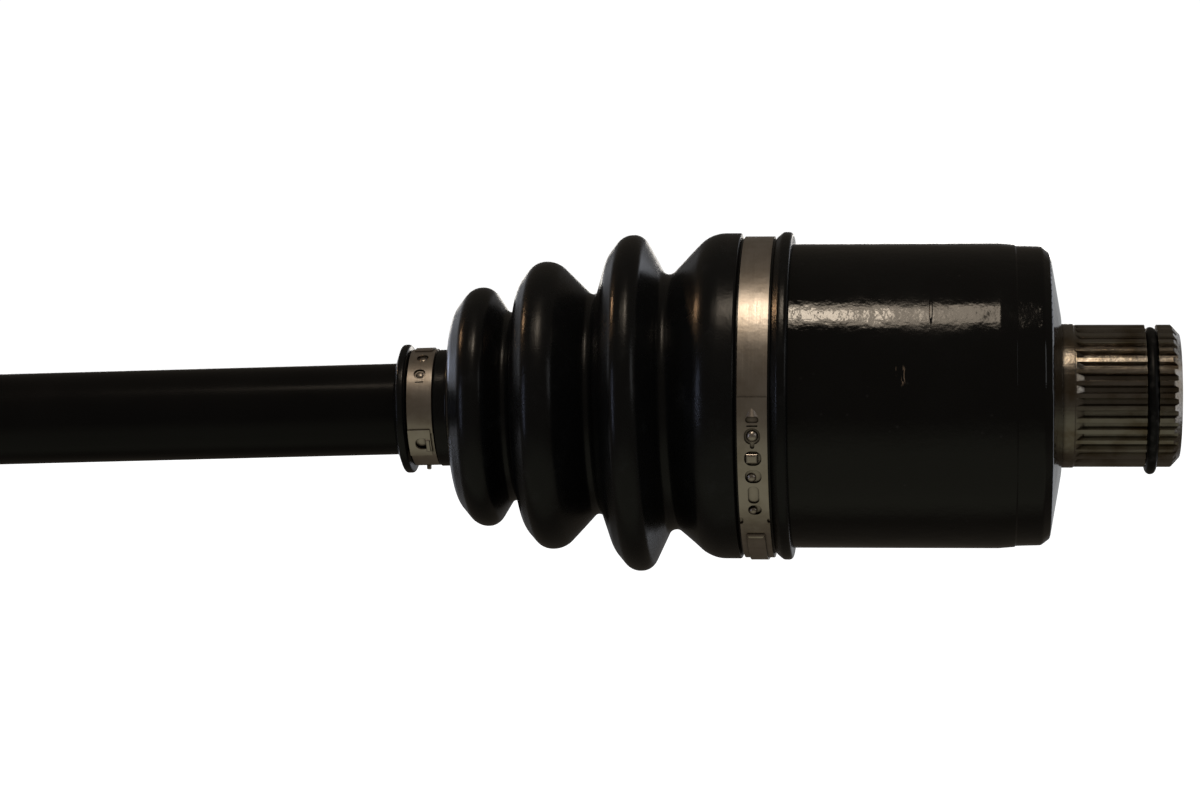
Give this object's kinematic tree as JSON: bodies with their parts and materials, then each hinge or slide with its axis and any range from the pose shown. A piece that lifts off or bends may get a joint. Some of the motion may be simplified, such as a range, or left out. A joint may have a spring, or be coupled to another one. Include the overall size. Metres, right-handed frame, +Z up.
{
  "type": "cv axle",
  "caption": "Half shaft with constant-velocity ball joints at both ends, folded rubber boots held by steel band clamps, a splined inboard stub and a splined, threaded hub stub.",
  "frame": {"origin": "on the inboard stub's axis, in the plane of the shoulder at the stub's root", "axes": "+X out of the inboard stub, +Z up; the shaft runs towards -X and droops 1.5 degrees about the inboard joint"},
  "size_m": [0.5774, 0.0934, 0.1013],
  "materials": {
    "housing": "gloss black over forged steel, splines bare",
    "shaft": "satin black",
    "boot": "satin moulded rubber",
    "band": "rolled stainless strip",
    "spring_wire": "black phosphate",
    "ground_steel": "ground, greased",
    "ball": "polished bearing steel"
  },
  "bodies": {
    "inboard_housing_body": {"inboard_housing": "housing", "stub_snap_ring": "spring_wire", "inboard_mouth_ring": "spring_wire", "inboard_large_clamp": "band"},
    "inboard_boot_body": {"inboard_boot": "boot"},
    "inboard_pitch_body": {"inboard_ball_2": "ball"},
    "inboard_cage_body": {"inboard_cage": "ground_steel", "inboard_ball_1": "ball", "inboard_ball_3": "ball", "inboard_ball_4": "ball", "inboard_ball_6": "ball"},
    "inboard_yaw_body": {"inboard_ball_5": "ball"},
    "axle_shaft_body": {"axle_shaft": "shaft", "inboard_inner_race": "ground_steel", "inboard_race_circlips": "spring_wire", "inboard_small_clamp": "band", "outboard_small_clamp": "band", "outboard_inner_race": "ground_steel", "outboard_race_circlips": "spring_wire"},
    "outboard_pitch_body": {"outboard_ball_2": "ball"},
    "outboard_cage_body": {"outboard_cage": "ground_steel", "outboard_ball_1": "ball", "outboard_ball_3": "ball", "outboard_ball_4": "ball", "outboard_ball_6": "ball"},
    "outboard_yaw_body": {"outboard_ball_5": "ball"},
    "outboard_housing_body": {"outboard_housing": "housing", "outboard_large_clamp": "band", "outboard_boot": "boot"}
  },
  "joints": [
    {"name": "inboard_plunge", "type": "slide", "parent": "inboard_housing_body", "child": "inboard_boot_body", "axis": [1, 0, 0], "range_m": [-0.016, 0.01], "deforming": ["inboard_boot"]},
    {"name": "inboard_pitch", "type": "hinge", "parent": "inboard_boot_body", "child": "inboard_pitch_body", "pos_m": [-0.044, 0, 0], "axis": [0, 1, 0], "range_deg": [-6.75, 8.25]},
    {"name": "inboard_yaw", "type": "hinge", "parent": "inboard_pitch_body", "child": "inboard_cage_body", "pos_m": [-0.044, 0, 0], "axis": [-0.0131, 0, 0.9999], "range_deg": [-7.5, 7.5]},
    {"name": "inboard_yaw_follow", "type": "hinge", "parent": "inboard_cage_body", "child": "inboard_yaw_body", "pos_m": [-0.044, 0, 0], "axis": [-0.0131, 0, 0.9999], "range_deg": [-7.5, 7.5]},
    {"name": "inboard_pitch_follow", "type": "hinge", "parent": "inboard_yaw_body", "child": "axle_shaft_body", "pos_m": [-0.044, 0, 0], "axis": [0, 1, 0], "range_deg": [-6.75, 8.25]},
    {"name": "outboard_pitch", "type": "hinge", "parent": "axle_shaft_body", "child": "outboard_pitch_body", "pos_m": [-0.43387, 0, -0.01021], "axis": [0, 1, 0], "range_deg": [-16.75, 15.25]},
    {"name": "outboard_yaw", "type": "hinge", "parent": "outboard_pitch_body", "child": "outboard_cage_body", "pos_m": [-0.43387, 0, -0.01021], "axis": [-0.0131, 0, 0.9999], "range_deg": [-16, 16]},
    {"name": "outboard_yaw_follow", "type": "hinge", "parent": "outboard_cage_body", "child": "outboard_yaw_body", "pos_m": [-0.43387, 0, -0.01021], "axis": [-0.0131, 0, 0.9999], "range_deg": [-16, 16]},
    {"name": "outboard_pitch_follow", "type": "hinge", "parent": "outboard_yaw_body", "child": "outboard_housing_body", "pos_m": [-0.43387, 0, -0.01021], "axis": [0, 1, 0], "range_deg": [-16.75, 15.25], "deforming": ["outboard_boot"]}
  ],
  "couplings": [
    {"joint": "inboard_yaw_follow", "follows": "inboard_yaw", "ratio": 1},
    {"joint": "inboard_pitch_follow", "follows": "inboard_pitch", "ratio": 1},
    {"joint": "outboard_yaw_follow", "follows": "outboard_yaw", "ratio": 1},
    {"joint": "outboard_pitch_follow", "follows": "outboard_pitch", "ratio": 1}
  ]
}
